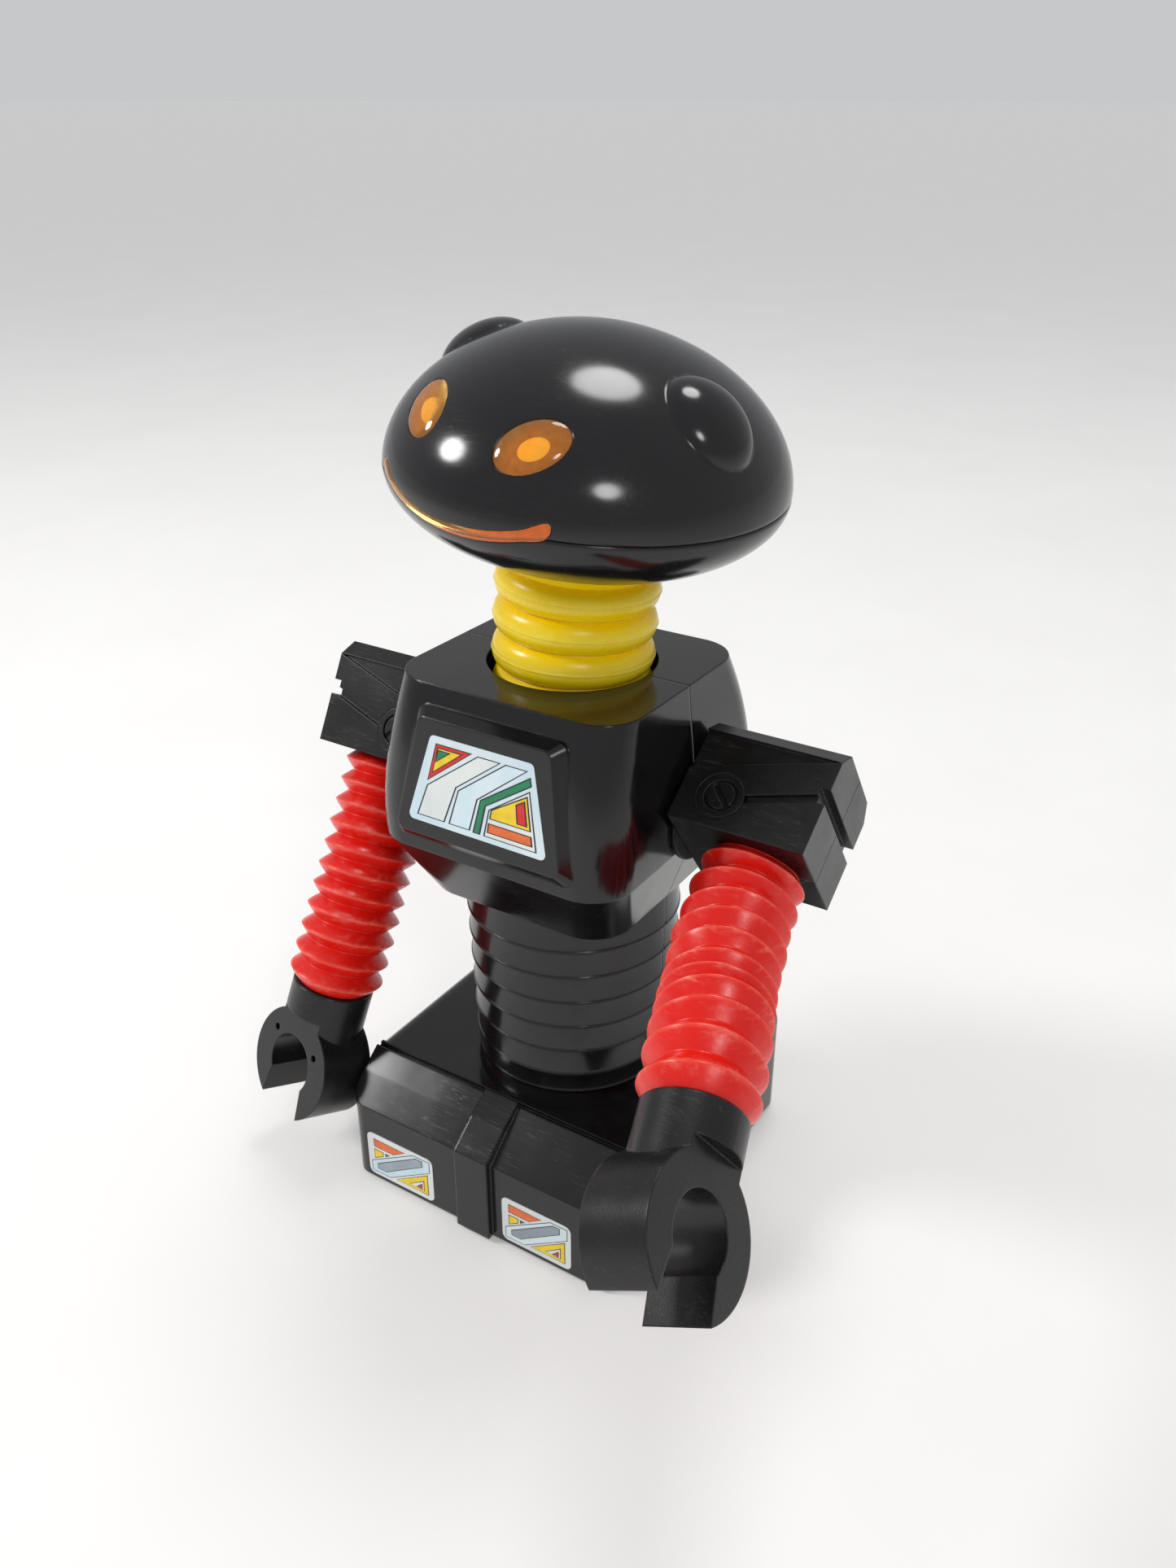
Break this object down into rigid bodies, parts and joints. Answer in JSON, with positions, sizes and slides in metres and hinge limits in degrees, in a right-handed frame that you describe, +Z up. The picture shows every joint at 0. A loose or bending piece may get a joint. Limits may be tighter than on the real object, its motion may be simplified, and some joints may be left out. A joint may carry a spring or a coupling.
{
  "type": "toy robot",
  "caption": "Black toy robot on a wheeled base with a round waist, foil stickers, red bellows arms with C-shaped claws, yellow bellows neck and a domed head with amber eyes.",
  "frame": {"origin": "on the floor under the centre of the round waist", "axes": "+Z up, -Y is where the robot faces, +X is the robot's left"},
  "size_m": [0.1924, 0.1746, 0.2522],
  "materials": {
    "gloss_black": "glossy injection moulded, fine scratches",
    "satin_black": "satin",
    "zinc": "zinc plated",
    "foil": "printed metallised foil",
    "cell": "printed sleeve",
    "spring_steel": "plain",
    "motor_can": "plain",
    "brass": "plain",
    "white_nylon": "moulded",
    "rubber_black": "moulded",
    "switch_grey": "moulded",
    "yellow_pe": "translucent soft plastic",
    "red_pe": "translucent soft plastic",
    "amber_lens": "transparent amber plastic",
    "yellow_core": "moulded",
    "bulb_glass": "clear glass"
  },
  "bodies": {
    "base": {"base_shell": "gloss_black", "base_plate": "satin_black", "base_screws": "zinc", "bumper_sticker_left": "foil", "bumper_sticker_right": "foil", "batteries": "cell", "battery_contacts": "spring_steel", "motor": "motor_can", "gearbox_frame": "white_nylon", "waist_front": "gloss_black", "waist_rear": "gloss_black", "torso_front": "gloss_black", "torso_rear": "gloss_black", "torso_screws": "zinc", "chest_sticker": "foil", "neck_collar": "satin_black", "neck_bellows": "yellow_pe"},
    "drive": {"drive_axle": "spring_steel", "drive_wheel_left": "rubber_black", "drive_wheel_right": "rubber_black", "axle_gear": "white_nylon"},
    "idler": {"idler_gear": "white_nylon"},
    "pinion": {"motor_pinion": "brass"},
    "front_wheels": {"front_axle": "spring_steel", "front_wheel_left": "satin_black", "front_wheel_right": "satin_black"},
    "switch": {"power_switch": "switch_grey"},
    "door": {"battery_door": "satin_black"},
    "neck_top": {"neck_plug": "satin_black"},
    "head": {"head_upper": "gloss_black", "head_lower": "gloss_black", "head_screws": "zinc", "eye_lens_left": "amber_lens", "eye_lens_right": "amber_lens", "eye_pupil_left": "yellow_core", "eye_pupil_right": "yellow_core", "mouth_lens": "amber_lens", "lamp_holder": "white_nylon", "lamp_bulb": "bulb_glass"},
    "shoulder_right": {"shoulder_shaft_right": "satin_black", "shoulder_front_right": "satin_black", "shoulder_rear_right": "satin_black", "shoulder_pin_right": "satin_black", "arm_bellows_right": "red_pe"},
    "wrist_right": {"wrist_plug_right": "satin_black"},
    "claw_right": {"claw_right": "satin_black"},
    "shoulder_left": {"shoulder_shaft_left": "satin_black", "shoulder_front_left": "satin_black", "shoulder_rear_left": "satin_black", "shoulder_pin_left": "satin_black", "arm_bellows_left": "red_pe"},
    "wrist_left": {"wrist_plug_left": "satin_black"},
    "claw_left": {"claw_left": "satin_black"}
  },
  "joints": [
    {"name": "drive_spin", "type": "hinge", "parent": "base", "child": "drive", "pos_m": [0, 0.024, 0.014], "axis": [1, 0, 0], "continuous": true},
    {"name": "idler_spin", "type": "hinge", "parent": "base", "child": "idler", "pos_m": [0, 0.00945, 0.0224], "axis": [1, 0, 0], "continuous": true},
    {"name": "pinion_spin", "type": "hinge", "parent": "base", "child": "pinion", "pos_m": [0, -0.00143, 0.02747], "axis": [1, 0, 0], "continuous": true},
    {"name": "front_spin", "type": "hinge", "parent": "base", "child": "front_wheels", "pos_m": [0, -0.034, 0.009], "axis": [1, 0, 0], "continuous": true},
    {"name": "power_switch_slide", "type": "slide", "parent": "base", "child": "switch", "axis": [1, 0, 0], "range_m": [0, 0.008]},
    {"name": "battery_door_slide", "type": "slide", "parent": "base", "child": "door", "axis": [0, 0, -1], "range_m": [0, 0.03]},
    {"name": "neck_tilt", "type": "hinge", "parent": "base", "child": "neck_top", "pos_m": [0.00126, 0.00074, 0.18], "axis": [0, 1, 0], "range_deg": [-17, 5], "deforming": ["neck_bellows"]},
    {"name": "head_turn", "type": "hinge", "parent": "neck_top", "child": "head", "pos_m": [0.00251, 0.00148, 0.20052], "axis": [0.1204, -0.0191, 0.9925], "range_deg": [-60, 60]},
    {"name": "shoulder_turn_right", "type": "hinge", "parent": "base", "child": "shoulder_right", "pos_m": [-0.04, 0, 0.1288], "axis": [-1, 0, 0], "range_deg": [0, 80]},
    {"name": "arm_bend_right", "type": "hinge", "parent": "shoulder_right", "child": "wrist_right", "pos_m": [-0.0624, -0.02171, 0.08892], "axis": [-0.9999, 0.0067, 0.0122], "range_deg": [0, 30], "deforming": ["arm_bellows_right"]},
    {"name": "claw_turn_right", "type": "hinge", "parent": "wrist_right", "child": "claw_right", "pos_m": [-0.0629, -0.0389, 0.0574], "axis": [-0.142, -0.325, -0.935], "continuous": true},
    {"name": "shoulder_turn_left", "type": "hinge", "parent": "base", "child": "shoulder_left", "pos_m": [0.04, 0, 0.1288], "axis": [-1, 0, 0], "range_deg": [-30, 55]},
    {"name": "arm_bend_left", "type": "hinge", "parent": "shoulder_left", "child": "wrist_left", "pos_m": [0.0727, -0.04379, 0.11374], "axis": [-0.9607, -0.2687, -0.0693], "range_deg": [-25, 20], "deforming": ["arm_bellows_left"]},
    {"name": "claw_turn_left", "type": "hinge", "parent": "wrist_left", "child": "claw_left", "pos_m": [0.0835, -0.08, 0.1044], "axis": [0.256, -0.8782, -0.4041], "continuous": true}
  ],
  "couplings": [
    {"joint": "idler_spin", "follows": "drive_spin", "ratio": -1.1},
    {"joint": "pinion_spin", "follows": "drive_spin", "ratio": 2.2}
  ]
}
